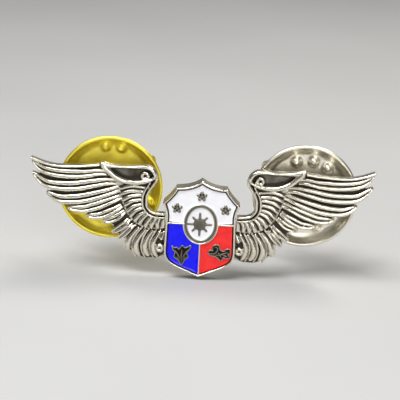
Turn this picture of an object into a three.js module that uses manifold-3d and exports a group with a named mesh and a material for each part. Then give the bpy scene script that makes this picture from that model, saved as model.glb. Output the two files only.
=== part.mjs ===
// A pair of pilot's wings to pin on a garment: two cast wings soldered to the sides of a thick
// shield with enamel in its cells, two posts on the flat back, and a butterfly clutch on each post.
//
// Millimetres, +Z up, +X to the right as seen from the front. The badge faces -Y. The origin is on
// the flat back (y = 0), on the centre line, level with the two posts. A height is measured from
// the flat back towards the front, so a height h is at y = -h.

import * as THREE from 'three';
import { mergeVertices } from 'three/addons/utils/BufferGeometryUtils.js';
import Module from 'manifold-3d';

const wasm = await Module();
wasm.setup();

// ---- driving dimensions ------------------------------------------------------------------

const JOINT_GAP = 0.03;             // between pieces that are soldered or fired together
const WING_PLATE = 0.55;            // height of the web that carries the feathers
const PRIMARY_HEIGHT = 1.1;         // crest of the flight feathers
const COVERT_HEIGHT = 1.0;          // crest of the short feathers
const RIM_HEIGHT = 1.2;             // bead round the notch beside the shield
const POD_HEIGHT = 1.5;             // rolled rim of the shoulder pod
const POD_FLOOR = 0.85;             // floor of the hollow inside that rim
const SHIELD_HEIGHT = 1.8;
const CELL_DEPTH = 0.4;             // how far the enamel cells are sunk
const SHIELD_RIM = 0.38;            // width of the metal rim round the cells
const DIVIDER = 0.2;                // width of the metal walls between the cells
const FIELD_SPLIT = -3.15;          // level where the white field ends
const OVAL = { z: -3.2, outerX: 1.88, outerZ: 2.35, innerX: 1.5, innerZ: 2.0 };
const ENAMEL_TOP = 1.72;

const POST_X = { left: -10.3, right: 11.5 };
const POST_RADIUS = 0.575;
const POST_LENGTH = 8.5;
const CLUTCH_RADIUS = 5.88;
const DISC_SHEET = 0.3;
const DISC_FLOOR = 1.45;            // front of the disc's flat floor, behind the badge's back
const BEAD_RADIUS = 0.3;
const EYELET_BORE = 0.72;
const EYELET_TUBE = 1.05;
const FRAME_SHEET = 0.32;
const FRAME_START = DISC_FLOOR + DISC_SHEET + JOINT_GAP;
const FRAME_INSIDE = 2.05;          // from the axis to the inner face of a frame's cheek
const HINGE = { x: 1.6, y: 3.4 };   // a tab's pivot, from the post's axis and the badge's back
const KNUCKLE_RADIUS = 0.4;
const TRUNNION_RADIUS = 0.27;
const TRUNNION_HOLE = 0.33;
const TAB_SHEET = 0.35;
const TAB_ANGLE = THREE.MathUtils.degToRad(46);
const TAB_START = 1.1;              // from the pivot to where the tab widens past the frame
const TAB_END = 4.5;                // from the pivot to the tab's tip
const TAB_WIDTH = 5.2;
const JAW_SHEET = 0.3;
const JAW_TOP = HINGE.y - KNUCKLE_RADIUS - JOINT_GAP;
const JAW_NOTCH = 0.63;             // grips round the post
const WIRE_RADIUS = 0.16;

// ---- materials ---------------------------------------------------------------------------

function finish(color, roughness, metalness) {
  return new THREE.MeshStandardMaterial({ color, roughness, metalness });
}

const NICKEL = finish(0xc9c4b6, 0.25, 1);
const STEEL = finish(0x9a9a98, 0.35, 1);
const SOLDER = finish(0x8f8d88, 0.5, 1);
const BRASS = finish(0xc9b23a, 0.3, 1);
const WHITE = finish(0xeeeef2, 0.15, 0);
const BLUE = finish(0x1414dc, 0.15, 0);
const RED = finish(0xe23a3a, 0.15, 0);

// ---- solids ------------------------------------------------------------------------------

// A closed geometry as a solid that can be joined and cut.
function toSolid(geometry) {
  const bare = geometry.clone();
  bare.deleteAttribute('normal');
  bare.deleteAttribute('uv');
  const merged = mergeVertices(bare, 1e-4);
  return new wasm.Manifold(new wasm.Mesh({
    numProp: 3,
    vertProperties: new Float32Array(merged.attributes.position.array),
    triVerts: new Uint32Array(merged.index.array),
  }));
}

function toGeometry(solid) {
  const mesh = solid.getMesh();
  const geometry = new THREE.BufferGeometry();
  geometry.setAttribute('position', new THREE.BufferAttribute(mesh.vertProperties, 3));
  geometry.setIndex(new THREE.BufferAttribute(mesh.triVerts, 1));
  geometry.computeVertexNormals();
  return geometry;
}

function joined(solids) {
  return solids.reduce((whole, solid) => whole.add(solid));
}

// A flat shape drawn in x and z, standing from one height to another above the back.
function slab(shape, from, to, steps = 6) {
  const geometry = new THREE.ExtrudeGeometry(shape, {
    depth: to - from,
    bevelEnabled: false,
    curveSegments: steps,
  });
  geometry.rotateX(Math.PI / 2);
  geometry.translate(0, -from, 0);
  return toSolid(geometry);
}

// A profile of [radius, y] pairs turned about the post's axis, closed on itself.
function turned(profile, segments) {
  const points = profile.map(([radius, y]) => new THREE.Vector2(radius, y));
  points.push(points[0].clone());
  if (THREE.ShapeUtils.area(points) < 0) points.reverse();
  return new THREE.LatheGeometry(points, segments);
}

function polygon(pairs) {
  return new THREE.Shape(pairs.map(([x, z]) => new THREE.Vector2(x, z)));
}

// ---- outlines ----------------------------------------------------------------------------

// An outline moved inwards by a distance, corner by corner. The outline runs clockwise.
function inset(points, distance) {
  return points.map((point, i) => {
    const before = points[(i + points.length - 1) % points.length];
    const after = points[(i + 1) % points.length];
    const a = point.clone().sub(before).normalize();
    const b = after.clone().sub(point).normalize();
    const inward = new THREE.Vector2(a.y + b.y, -(a.x + b.x)).normalize();
    const halfTurn = Math.max(0.4, inward.dot(new THREE.Vector2(a.y, -a.x)));
    return point.clone().addScaledVector(inward, distance / halfTurn);
  });
}

// The shield: ogee top with a centre point, scooped shoulders, straight sides, pointed foot.
function shieldOutline() {
  const half = new THREE.Path();
  half.moveTo(0, 1.85);
  half.quadraticCurveTo(1.1, 0.95, 2.8, 0.97);
  half.quadraticCurveTo(3.25, 0.1, 4.28, -0.87);
  half.quadraticCurveTo(3.95, -1.5, 3.87, -2.3);
  half.lineTo(3.97, -6.3);
  half.bezierCurveTo(3.97, -8.05, 2.6, -8.15, 0, -9.35);
  const right = half.getPoints(6);
  const left = right.slice(1, -1).map((p) => new THREE.Vector2(-p.x, p.y)).reverse();
  return [...right, ...left];
}

// A strip of changing width along a smooth line. The width is a function of 0 to 1.
function strip(line, halfWidth, steps) {
  const curve = new THREE.CatmullRomCurve3(line.map(([x, z]) => new THREE.Vector3(x, z, 0)));
  const upper = [];
  const lower = [];
  for (let i = 0; i <= steps; i += 1) {
    const t = i / steps;
    const point = curve.getPoint(t);
    const along = curve.getTangent(t);
    const half = halfWidth(t);
    upper.push(new THREE.Vector2(point.x - along.y * half, point.y + along.x * half));
    lower.push(new THREE.Vector2(point.x + along.y * half, point.y - along.x * half));
  }
  return new THREE.Shape([...upper, ...lower.reverse()]);
}

const even = (half) => () => half;
const pointed = (half) => (t) => half * Math.sqrt(1 - 0.97 * t ** 5) * Math.min(1, 0.65 + 0.7 * t);

function ellipse(x, z, radiusX, radiusZ) {
  const shape = new THREE.Shape();
  shape.absellipse(x, z, radiusX, radiusZ, 0, 2 * Math.PI);
  return shape;
}

// A ridge along a smooth line, standing on the flat back.
function ridge(line, halfWidth, height, steps, side) {
  return slab(mirrored(strip(line, halfWidth, steps), side), 0, height);
}

function mirrored(shape, side) {
  return new THREE.Shape(shape.getPoints(6).map((p) => new THREE.Vector2(p.x * side, p.y)));
}

// A round outline whose radius rises and falls, as petals or rays round a centre.
function lobed(x, z, radius, lobes, depth, turn) {
  const points = [];
  const count = lobes * 4;
  for (let i = 0; i < count; i += 1) {
    const angle = (2 * Math.PI * i) / count + turn;
    const reach = radius * (1 - depth + depth * Math.cos(lobes * (angle - turn)));
    points.push(new THREE.Vector2(x + reach * Math.cos(angle), z + reach * Math.sin(angle)));
  }
  return new THREE.Shape(points);
}

// ---- wings -------------------------------------------------------------------------------

// Centre lines of the flight feathers, root to tip, top one first, each with half its width.
// [x, z] on the right wing.
const FLIGHT_FEATHERS = [
  [0.47, [[11.2, 2.08], [13.0, 1.8], [15.0, 1.71], [16.6, 1.83], [17.9, 2.2], [18.85, 2.95]]],
  [0.55, [[10.1, 1.1], [12.0, 0.76], [14.0, 0.37], [16.0, 0.3], [17.5, 0.57], [18.8, 1.6]]],
  [0.53, [[9.2, 0.25], [11.0, -0.38], [13.0, -0.98], [14.7, -1.22], [16.0, -1.15], [17.2, -0.6]]],
  [0.42, [[9.0, -0.7], [10.0, -1.12], [11.0, -1.57], [12.0, -1.95], [13.2, -2.28], [14.87, -2.3]]],
  [0.38, [[8.85, -1.7], [9.4, -2.05], [10.4, -2.6], [11.4, -3.0], [12.75, -3.08]]],
  [0.35, [[8.5, -2.35], [9.0, -2.78], [9.7, -3.27], [10.9, -3.72]]],
  [0.32, [[7.95, -3.25], [8.5, -3.82], [9.1, -4.33], [9.9, -4.87]]],
  [0.3, [[7.5, -3.85], [8.2, -4.6], [8.7, -5.1], [9.2, -5.6]]],
];

// Curved feathers from the feather break down to the trailing edge near the shield.
const LOWER_FEATHERS = [
  [0.3, [[6.85, -4.2], [7.45, -4.85], [7.85, -5.45], [8.05, -6.2], [7.95, -6.9]]],
  [0.3, [[6.1, -4.4], [6.65, -5.05], [7.0, -5.65], [7.15, -6.3], [7.0, -7.0], [6.6, -7.45]]],
  [0.3, [[5.3, -4.5], [5.8, -5.15], [6.05, -5.8], [6.15, -6.35], [6.0, -6.95], [5.6, -7.5]]],
  [0.3, [[4.5, -4.6], [4.9, -5.25], [5.15, -5.75], [5.2, -6.35], [5.0, -7.0], [4.65, -7.5]]],
];
const SWIRL = { x: 4.42, z: -6.55, radius: 0.36 };

// The thin rim along the top of the first feather.
const LEADING_EDGE = [
  [11.45, 2.93], [13.0, 2.73], [15.0, 2.59], [16.5, 2.63], [17.8, 2.92], [19.0, 3.33],
];

// The line where the short inner feathers end and the long ones begin, shoulder to root.
const FEATHER_BREAK = [
  [9.2, 0.2], [9.1, -0.4], [8.95, -1], [8.65, -1.75], [8.3, -2.5], [7.8, -3.2],
  [7.25, -3.65], [6.6, -4.0], [5.9, -4.2], [5.1, -4.22], [4.2, -4.12],
];

// The edge of the open notch between the wing's neck and the shield.
const NOTCH = [
  [5.05, 1.9], [5.12, 1.45], [5.45, 0.9], [5.85, 0.3], [6.08, -0.3],
  [6.12, -0.95], [6.08, -1.5], [5.75, -2.0], [5.2, -2.32], [4.2, -2.42],
];

const POD = [
  [11.4, 3.35], [10.6, 3.13], [9.3, 3.0], [8.0, 3.0], [6.8, 3.1], [6.1, 3.08], [5.6, 2.87],
  [5.2, 2.45], [5.02, 1.95], [5.3, 1.6], [5.75, 1.3], [6.5, 1.02], [7.5, 0.93], [8.5, 1.0],
  [9.4, 1.28], [10.1, 1.75], [10.75, 2.4], [11.2, 2.85],
];

// The hollow in the pod: a thin wall above it, a thick lip below it.
const POD_HOLLOW = [
  [10.55, 2.87], [9.3, 2.75], [8.0, 2.72], [6.9, 2.82], [6.2, 2.82], [5.75, 2.6], [5.48, 2.25],
  [5.48, 1.95], [5.85, 1.68], [6.6, 1.48], [7.5, 1.4], [8.4, 1.48], [9.2, 1.76], [9.9, 2.2],
];
const POD_BOSS = { x: 6.4, z: 1.97, radius: 0.48, height: 1.35 };
const SHORT_FEATHERS = 10;

// The wing's web. Its outer edge crosses the feathers short of their tips.
function webOutline() {
  return polygon([
    [3.6, -2.4], ...NOTCH.slice(0, -1).reverse(), [5.4, 2.4], [6.8, 2.9], [10.8, 2.95],
    [12.4, 2.7], [15.0, 2.5], [16.5, 2.55], [17.8, 2.8], [18.3, 2.6], [17.9, 1.0], [16.4, -0.8],
    [14.1, -2.2], [12.1, -3.0], [10.3, -3.5], [9.45, -4.55], [8.85, -5.25], [8.0, -5.9],
    [7.9, -6.7], [7.3, -7.3], [6.5, -7.65], [5.6, -7.75], [4.6, -7.6], [3.6, -7.3],
  ]);
}

function along(line, t) {
  const curve = new THREE.CatmullRomCurve3(line.map(([x, z]) => new THREE.Vector3(x, z, 0)));
  const point = curve.getPointAt(t);
  return [point.x, point.y];
}

// Short feathers that fan from the notch's bead to the feather break.
function shortFeathers() {
  const feathers = [];
  for (let i = 0; i < SHORT_FEATHERS; i += 1) {
    const t = (i + 0.5) / SHORT_FEATHERS;
    const [x, z] = along(NOTCH, 0.36 + 0.6 * t);
    const root = [x + 0.4 * (1 - t), z - 0.3 * t];
    const tip = along(FEATHER_BREAK, 0.03 + 0.93 * t);
    const bend = [(root[0] + tip[0]) / 2 + 0.14, (root[1] + tip[1]) / 2 + 0.28 * (1 - t)];
    feathers.push([root, bend, tip]);
  }
  return feathers;
}

function wing(side) {
  const onSide = (shape) => mirrored(shape, side);
  const flight = FLIGHT_FEATHERS.map(([half, line]) =>
    ridge(line, pointed(half), PRIMARY_HEIGHT, 7, side));
  const short = shortFeathers().map((line) => ridge(line, pointed(0.26), COVERT_HEIGHT, 3, side));
  const lower = LOWER_FEATHERS.map(([half, line]) =>
    ridge(line, pointed(half), COVERT_HEIGHT, 5, side));
  const edge = ridge(LEADING_EDGE, even(0.13), RIM_HEIGHT, 7, side);
  const bead = ridge(NOTCH, even(0.17), RIM_HEIGHT, 10, side);
  const swirl = slab(onSide(ellipse(SWIRL.x, SWIRL.z, SWIRL.radius, SWIRL.radius)), 0, COVERT_HEIGHT, 3);
  const pod = slab(onSide(polygon(POD)), 0, POD_HEIGHT);
  const hollow = slab(onSide(polygon(POD_HOLLOW)), POD_FLOOR, POD_HEIGHT + 1);
  const boss = slab(
    onSide(ellipse(POD_BOSS.x, POD_BOSS.z, POD_BOSS.radius, POD_BOSS.radius)), 0, POD_BOSS.height, 3);
  const web = slab(onSide(webOutline()), 0, WING_PLATE);
  const shieldSpace = slab(new THREE.Shape(inset(shieldOutline(), -JOINT_GAP)), -1, POD_HEIGHT + 2);
  const metal = joined([web, ...flight, ...short, ...lower, edge, bead, swirl, pod]);
  return metal.subtract(hollow).add(boss).subtract(shieldSpace);
}

// ---- shield and enamel -------------------------------------------------------------------

const ROSETTES = [[0, 0.07], [-2.68, -1.4], [2.68, -1.4]];
const ROSETTE_RADIUS = 0.6;

// A three-lobed leaf on the blue cell and a curled scroll on the red one.
const LEAF = [
  [-3.05, -5.75], [-2.45, -6.15], [-2.0, -5.65], [-1.55, -6.1], [-0.95, -5.75], [-1.15, -6.5],
  [-1.3, -7.2], [-1.85, -7.35], [-2.05, -7.9], [-2.35, -7.35], [-2.8, -7.15], [-2.85, -6.4],
];
const SCROLL = [
  [1.05, -6.35], [1.3, -6.1], [1.75, -6.2], [1.75, -5.65], [2.2, -5.5], [2.6, -5.85],
  [2.65, -6.35], [3.0, -6.2], [3.46, -6.2], [3.46, -7.0], [2.95, -7.3], [2.3, -7.1], [1.6, -6.85],
];

// The metal charges, drawn larger by `grow` where they make a hole in the enamel.
function charges(grow) {
  const outline = (pairs) => new THREE.Shape(
    inset(clockwise(pairs.map(([x, z]) => new THREE.Vector2(x, z))), -grow));
  return [
    ...ROSETTES.map(([x, z]) => lobed(x, z, ROSETTE_RADIUS + grow, 5, 0.14, Math.PI / 2)),
    lobed(0, OVAL.z, 1.25 + grow, 8, 0.24, Math.PI / 2),
    outline(LEAF),
    outline(SCROLL),
  ];
}

function clockwise(points) {
  return THREE.ShapeUtils.area(points) > 0 ? points.reverse() : points;
}

// The walls between the cells: the oval ring, the centre divider and the two level ones.
function dividers(grow, from, to) {
  const wide = DIVIDER / 2 + grow;
  const reach = 3.6;
  const ring = slab(ellipse(0, OVAL.z, OVAL.outerX + grow, OVAL.outerZ + grow), from, to)
    .subtract(slab(ellipse(0, OVAL.z, OVAL.innerX - grow, OVAL.innerZ - grow), from - 1, to + 1));
  const centre = slab(polygon([
    [-wide, OVAL.z - OVAL.innerZ - 0.1], [wide, OVAL.z - OVAL.innerZ - 0.1], [wide, -9.2], [-wide, -9.2],
  ]), from, to);
  const level = [-1, 1].map((side) => slab(polygon([
    [side * 1.6, FIELD_SPLIT - wide], [side * reach, FIELD_SPLIT - wide],
    [side * reach, FIELD_SPLIT + wide], [side * 1.6, FIELD_SPLIT + wide],
  ]), from, to));
  return joined([ring, centre, ...level]);
}

function shieldBody() {
  const outer = shieldOutline();
  const floor = SHIELD_HEIGHT - CELL_DEPTH;
  const block = slab(new THREE.Shape(outer), 0, SHIELD_HEIGHT);
  const cells = slab(new THREE.Shape(inset(outer, SHIELD_RIM)), floor, SHIELD_HEIGHT + 1);
  const inside = slab(new THREE.Shape(inset(outer, SHIELD_RIM / 2)), 0, SHIELD_HEIGHT);
  const raised = charges(0).map((shape) => slab(shape, floor - 0.1, ENAMEL_TOP));
  const walls = dividers(0, floor - 0.1, SHIELD_HEIGHT).intersect(inside);
  return block.subtract(cells).add(joined([...raised, walls]));
}

// All the enamel at once, then one region of it.
function enamelFill() {
  const from = SHIELD_HEIGHT - CELL_DEPTH + JOINT_GAP;
  const fill = slab(new THREE.Shape(inset(shieldOutline(), SHIELD_RIM + JOINT_GAP)), from, ENAMEL_TOP);
  const holes = charges(JOINT_GAP).map((shape) => slab(shape, from - 1, ENAMEL_TOP + 1));
  return fill.subtract(joined([...holes, dividers(JOINT_GAP, from - 1, ENAMEL_TOP + 1)]));
}

function region(pairs) {
  return slab(polygon(pairs), 0, SHIELD_HEIGHT + 1);
}

function ovalRegion() {
  return slab(ellipse(0, OVAL.z, OVAL.innerX, OVAL.innerZ), 0, SHIELD_HEIGHT + 1);
}

// ---- posts -------------------------------------------------------------------------------

function post() {
  const tip = POST_LENGTH;
  return turned([
    [0, JOINT_GAP], [1.2, JOINT_GAP], [1.2, 0.3], [POST_RADIUS, 0.3], [POST_RADIUS, tip - 1.9],
    [0.43, tip - 1.7], [0.43, tip - 1.4], [POST_RADIUS, tip - 1.2], [POST_RADIUS, tip - 0.9],
    [0.1, tip], [0, tip],
  ], 16);
}

function solderFillet() {
  return turned([[1.24, JOINT_GAP], [2.1, JOINT_GAP], [2.0, 0.16], [1.24, 0.32]], 20);
}

// ---- clutch, about the post's axis -------------------------------------------------------

function dimple(angle, radius) {
  const bump = new THREE.CylinderGeometry(0.5, 0.22, 0.5, 7);
  bump.translate(radius * Math.sin(angle), DISC_FLOOR - 0.1, radius * Math.cos(angle));
  return toSolid(bump);
}

// The stamped disc: a flat floor, a dished wall and a rolled bead that faces the badge.
function disc(dimpleAngles, dimpleRadius) {
  const back = DISC_FLOOR + DISC_SHEET;
  const bead = CLUTCH_RADIUS - BEAD_RADIUS;
  const profile = [
    [EYELET_TUBE + 0.06, back], [EYELET_TUBE + 0.06, DISC_FLOOR], [4.5, DISC_FLOOR],
    [4.9, 1.27], [5.18, 0.92], [5.29, 0.62], [bead, 0.45], [bead + 0.21, 0.54],
    [CLUTCH_RADIUS, 0.75], [bead + 0.21, 0.96], [bead, 1.05], [5.35, 1.35], [5.08, 1.6],
    [4.65, back],
  ];
  const sheet = toSolid(turned(profile, 28));
  return toGeometry(sheet.add(joined(dimpleAngles.map((angle) => dimple(angle, dimpleRadius)))));
}

// The eyelet that rivets disc and frame together and lets them turn on it.
function eyelet() {
  const rear = FRAME_START + FRAME_SHEET;
  return turned([
    [EYELET_BORE, 1.15], [1.6, 1.15], [1.7, 1.4], [EYELET_TUBE, 1.4],
    [EYELET_TUBE, rear + 0.03], [1.4, rear + 0.03], [1.3, rear + 0.18], [EYELET_BORE, rear + 0.18],
  ], 20);
}

function circlePath(x, y, radius) {
  const hole = new THREE.Path();
  hole.absarc(x, y, radius, 0, 2 * Math.PI, true);
  return hole;
}

// A plate drawn across the hinge line, in x and y, with its thickness along z.
function cheek(shape, from, to) {
  const geometry = new THREE.ExtrudeGeometry(shape, {
    depth: to - from,
    bevelEnabled: false,
    curveSegments: 7,
  });
  geometry.translate(0, 0, from);
  return toSolid(geometry);
}

// A plate drawn in x and z, seen from behind the badge, with its thickness along y.
function flatPlate(shape, from, to) {
  const geometry = new THREE.ExtrudeGeometry(shape, {
    depth: to - from,
    bevelEnabled: false,
    curveSegments: 7,
  });
  geometry.rotateX(Math.PI / 2);
  geometry.translate(0, to, 0);
  return toSolid(geometry);
}

function rectangle(lowX, lowY, highX, highY) {
  return polygon([[lowX, lowY], [highX, lowY], [highX, highY], [lowX, highY]]);
}

// The folded frame: floor on the disc, two cheeks that hold the tabs, and a strap over the post.
function clutchFrame() {
  const outside = FRAME_INSIDE + FRAME_SHEET;
  const strapFloor = 4.45;
  const strapTop = strapFloor + FRAME_SHEET;
  const floor = rectangle(-2.35, -outside, 2.35, outside);
  floor.holes.push(circlePath(0, 0, EYELET_TUBE + 0.06));
  const strap = rectangle(-1.15, -outside, 1.15, outside);
  strap.holes.push(circlePath(0, 0, EYELET_BORE));
  const side = polygon([
    [-2.35, FRAME_START], [2.35, FRAME_START], [2.35, 3.65], [1.15, strapTop],
    [-1.15, strapTop], [-2.35, 3.65],
  ]);
  side.holes.push(circlePath(HINGE.x, HINGE.y, TRUNNION_HOLE));
  side.holes.push(circlePath(-HINGE.x, HINGE.y, TRUNNION_HOLE));
  return toGeometry(joined([
    flatPlate(floor, FRAME_START, FRAME_START + FRAME_SHEET),
    cheek(side, FRAME_INSIDE, outside),
    cheek(side, -outside, -FRAME_INSIDE),
    flatPlate(strap, strapFloor, strapTop),
  ]));
}

// A butterfly tab on the +X side: knuckle with trunnions, arm, and a wide plate to squeeze.
function tab() {
  const armHalf = FRAME_INSIDE - 0.1;
  const plateHalf = TAB_WIDTH / 2;
  const knuckle = toSolid(new THREE.CylinderGeometry(KNUCKLE_RADIUS, KNUCKLE_RADIUS, 2 * armHalf, 14)
    .rotateX(Math.PI / 2));
  const trunnions = toSolid(new THREE.CylinderGeometry(
    TRUNNION_RADIUS, TRUNNION_RADIUS, 2 * (FRAME_INSIDE + FRAME_SHEET - 0.02), 12).rotateX(Math.PI / 2));
  const arm = toSolid(new THREE.BoxGeometry(TAB_START + 0.3, TAB_SHEET, 2 * armHalf)
    .translate((TAB_START + 0.3) / 2, 0, 0));
  const outline = new THREE.Shape();
  const corner = 1.1;
  outline.moveTo(TAB_START, -plateHalf);
  outline.lineTo(TAB_END - corner, -plateHalf);
  outline.quadraticCurveTo(TAB_END, -plateHalf, TAB_END, -plateHalf + corner);
  outline.lineTo(TAB_END, plateHalf - corner);
  outline.quadraticCurveTo(TAB_END, plateHalf, TAB_END - corner, plateHalf);
  outline.lineTo(TAB_START, plateHalf);
  const plate = flatPlate(outline, -TAB_SHEET / 2, TAB_SHEET / 2);
  const lip = toSolid(new THREE.CylinderGeometry(0.26, 0.26, TAB_WIDTH - 2 * corner, 10)
    .rotateX(Math.PI / 2).translate(TAB_END - 0.08, 0.06, 0));
  const geometry = toGeometry(joined([knuckle, trunnions, arm, plate, lip]));
  return geometry.rotateZ(TAB_ANGLE).translate(HINGE.x, HINGE.y, 0);
}

// A jaw on the +X side: a plate under the knuckle with a round notch for the post.
function jaw() {
  const blank = rectangle(0.3, -1.5, 2.0, 1.5);
  const notch = new THREE.CylinderGeometry(JAW_NOTCH, JAW_NOTCH, 2, 20).translate(0, JAW_TOP, 0);
  return toGeometry(flatPlate(blank, JAW_TOP - JAW_SHEET, JAW_TOP).subtract(toSolid(notch)));
}

// The bent wire over the jaws: two straight legs and a round bend past the post.
function springWire() {
  const legX = 0.86;
  const bendZ = -0.85;
  const height = JAW_TOP + WIRE_RADIUS + 0.06;
  const path = new THREE.CurvePath();
  const points = [];
  for (let i = 0; i <= 10; i += 1) {
    const angle = (Math.PI * i) / 10;
    points.push(new THREE.Vector3(legX * Math.cos(angle), height, bendZ - legX * Math.sin(angle)));
  }
  path.add(new THREE.LineCurve3(new THREE.Vector3(legX, height, 1.75), points[0]));
  for (let i = 0; i < 10; i += 1) path.add(new THREE.LineCurve3(points[i], points[i + 1]));
  path.add(new THREE.LineCurve3(points[10], new THREE.Vector3(-legX, height, 1.75)));
  const section = new THREE.Shape();
  section.absarc(0, 0, WIRE_RADIUS, 0, 2 * Math.PI);
  return new THREE.ExtrudeGeometry(section, {
    extrudePath: new THREE.CatmullRomCurve3(path.getPoints(1)),
    steps: 18,
    curveSegments: 4,
    bevelEnabled: false,
  });
}

function evenAngles(count, start) {
  return Array.from({ length: count }, (_, i) => start + (2 * Math.PI * i) / count);
}

// Three groups of dimples, each group set out from its own middle.
function groupedAngles(middle, offsets) {
  return evenAngles(3, middle).flatMap((angle) => offsets.map((offset) => angle + offset));
}

// ---- assembly ----------------------------------------------------------------------------

const badge = new THREE.Group();

function place(parent, name, geometry, material) {
  const mesh = new THREE.Mesh(geometry, material);
  mesh.name = name;
  parent.add(mesh);
  return mesh;
}

place(badge, 'left_wing', toGeometry(wing(-1)), NICKEL);
place(badge, 'right_wing', toGeometry(wing(1)), NICKEL);
place(badge, 'shield_body', toGeometry(shieldBody()), NICKEL);

const enamel = enamelFill();
const ovalCell = ovalRegion();
const upper = region([[-6, FIELD_SPLIT], [6, FIELD_SPLIT], [6, 4], [-6, 4]]);
const lowerLeft = region([[-6, -12], [0, -12], [0, FIELD_SPLIT], [-6, FIELD_SPLIT]]);
const lowerRight = region([[0, -12], [6, -12], [6, FIELD_SPLIT], [0, FIELD_SPLIT]]);
place(badge, 'enamel_white_field', toGeometry(enamel.subtract(ovalCell).intersect(upper)), WHITE);
place(badge, 'enamel_white_oval', toGeometry(enamel.intersect(ovalCell)), WHITE);
place(badge, 'enamel_blue', toGeometry(enamel.subtract(ovalCell).intersect(lowerLeft)), BLUE);
place(badge, 'enamel_red', toGeometry(enamel.subtract(ovalCell).intersect(lowerRight)), RED);

const CLUTCHES = {
  left: { material: BRASS, dimples: groupedAngles(0.05, [-0.19, 0.19]), dimpleRadius: 4.4 },
  right: { material: NICKEL, dimples: groupedAngles(0.2, [-0.49, 0, 0.44]), dimpleRadius: 4.0 },
};

for (const [name, clutch] of Object.entries(CLUTCHES)) {
  const station = new THREE.Group();
  station.position.x = POST_X[name];
  badge.add(station);
  place(station, `${name}_post`, post(), STEEL);
  place(station, `${name}_post_solder`, solderFillet(), SOLDER);
  place(station, `${name}_clutch_eyelet`, eyelet(), clutch.material);
  place(station, `${name}_clutch_disc`, disc(clutch.dimples, clutch.dimpleRadius), clutch.material);
  place(station, `${name}_clutch_frame`, clutchFrame(), clutch.material);
  place(station, `${name}_clutch_spring`, springWire(), STEEL);
  for (const [letter, turn] of [['a', 0], ['b', Math.PI]]) {
    place(station, `${name}_clutch_tab_${letter}`, tab(), clutch.material).rotation.y = turn;
    place(station, `${name}_clutch_jaw_${letter}`, jaw(), STEEL).rotation.y = turn;
  }
}

export default badge;
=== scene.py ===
# %% [markdown]
# # A pilot wings badge with butterfly clutches
#
# The real badge is three castings soldered together, fired with enamel and plated in nickel. Two
# pointed posts on its flat back go through the cloth, and a stamped clutch slides on each of them.
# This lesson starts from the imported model, which fixes every size, and gives each piece its looks.
# The castings are swept and fused in the way a modeller builds up wax, the clutches are turned or
# rounded off from folded sheet, and the enamel is poured into its cells.

# %% Load the fixed frame
import math
from contextlib import contextmanager

import bmesh
import bpy
import numpy as np
from mathutils import Matrix, Vector, noise
from mathutils.geometry import delaunay_2d_cdt


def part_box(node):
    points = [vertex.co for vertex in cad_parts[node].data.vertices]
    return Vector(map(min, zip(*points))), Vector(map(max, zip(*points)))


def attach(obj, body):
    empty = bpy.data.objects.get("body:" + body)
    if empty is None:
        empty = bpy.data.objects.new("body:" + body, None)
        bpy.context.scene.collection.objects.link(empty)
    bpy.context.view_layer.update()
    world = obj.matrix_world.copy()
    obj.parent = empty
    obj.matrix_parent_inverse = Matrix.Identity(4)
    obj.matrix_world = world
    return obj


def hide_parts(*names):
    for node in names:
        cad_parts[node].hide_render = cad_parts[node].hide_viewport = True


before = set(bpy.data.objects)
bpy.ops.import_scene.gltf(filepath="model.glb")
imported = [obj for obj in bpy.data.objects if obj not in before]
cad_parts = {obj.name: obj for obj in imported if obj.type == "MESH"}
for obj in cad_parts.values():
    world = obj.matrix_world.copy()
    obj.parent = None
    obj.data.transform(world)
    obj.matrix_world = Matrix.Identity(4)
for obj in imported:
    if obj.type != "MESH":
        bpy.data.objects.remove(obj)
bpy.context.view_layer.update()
MM = 0.001


def box_mm(node):
    """A node's lowest and highest corner in millimetres."""
    low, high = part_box(node)
    return np.array(low) / MM, np.array(high) / MM


# %% [markdown]
# ## Sizes
#
# Heights are measured from the flat back towards the front, which faces -Y, so a height h lies at
# y = -h. The posts and the shield are read from the frame. Everything on the wings is drawn on the
# right-hand wing in x and z, and the left one is its mirror image.

# %% Sizes from the frame
SIDES = {"left": -1, "right": 1}
POST_X = {side: float(np.mean([corner[0] for corner in box_mm(f"{side}_post")])) for side in SIDES}
SHIELD_LOW, SHIELD_HIGH = box_mm("shield_body")
SHIELD_TOP = -SHIELD_LOW[1]
FOOT_Z = SHIELD_LOW[2]
PEAK_Z = SHIELD_HIGH[2]
POST_END = box_mm("left_post")[1][1]
CLUTCH_RADIUS = (box_mm("left_clutch_disc")[1][0] - box_mm("left_clutch_disc")[0][0]) / 2
print("posts at", POST_X, "shield height", SHIELD_TOP, "disc radius", CLUTCH_RADIUS)

# %% [markdown]
# ## Lines
#
# Feathers follow smooth lines through a few points. A Catmull-Rom spline passes through each point,
# and stepping along it by length keeps the samples even.


# %% Line helpers
def smooth_line(points, count):
    """Evenly spaced samples of a smooth line through the given points."""
    p = np.array(points, float)
    p = np.vstack([2 * p[0] - p[1], p, 2 * p[-1] - p[-2]])
    t = np.linspace(0, 1, 24, endpoint=False)[:, None]
    fine = [
        0.5 * (2 * b + (c - a) * t + (2 * a - 5 * b + 4 * c - d) * t**2 + (3 * b - a - 3 * c + d) * t**3)
        for a, b, c, d in zip(p, p[1:], p[2:], p[3:])
    ]
    return even_steps(np.vstack(fine + [p[-2][None]]), count)


def even_steps(line, count):
    """The same line with count samples, the same distance apart."""
    gaps = np.linalg.norm(np.diff(line, axis=0), axis=1)
    length = np.concatenate([[0], np.cumsum(gaps)])
    at = np.linspace(0, length[-1], count)
    return np.column_stack([np.interp(at, length, line[:, k]) for k in range(2)])


def sideways(line):
    """The unit normal to the left of the line's direction, at every sample."""
    along = np.gradient(line, axis=0)
    along /= np.linalg.norm(along, axis=1)[:, None]
    return np.column_stack([-along[:, 1], along[:, 0]])


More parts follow.
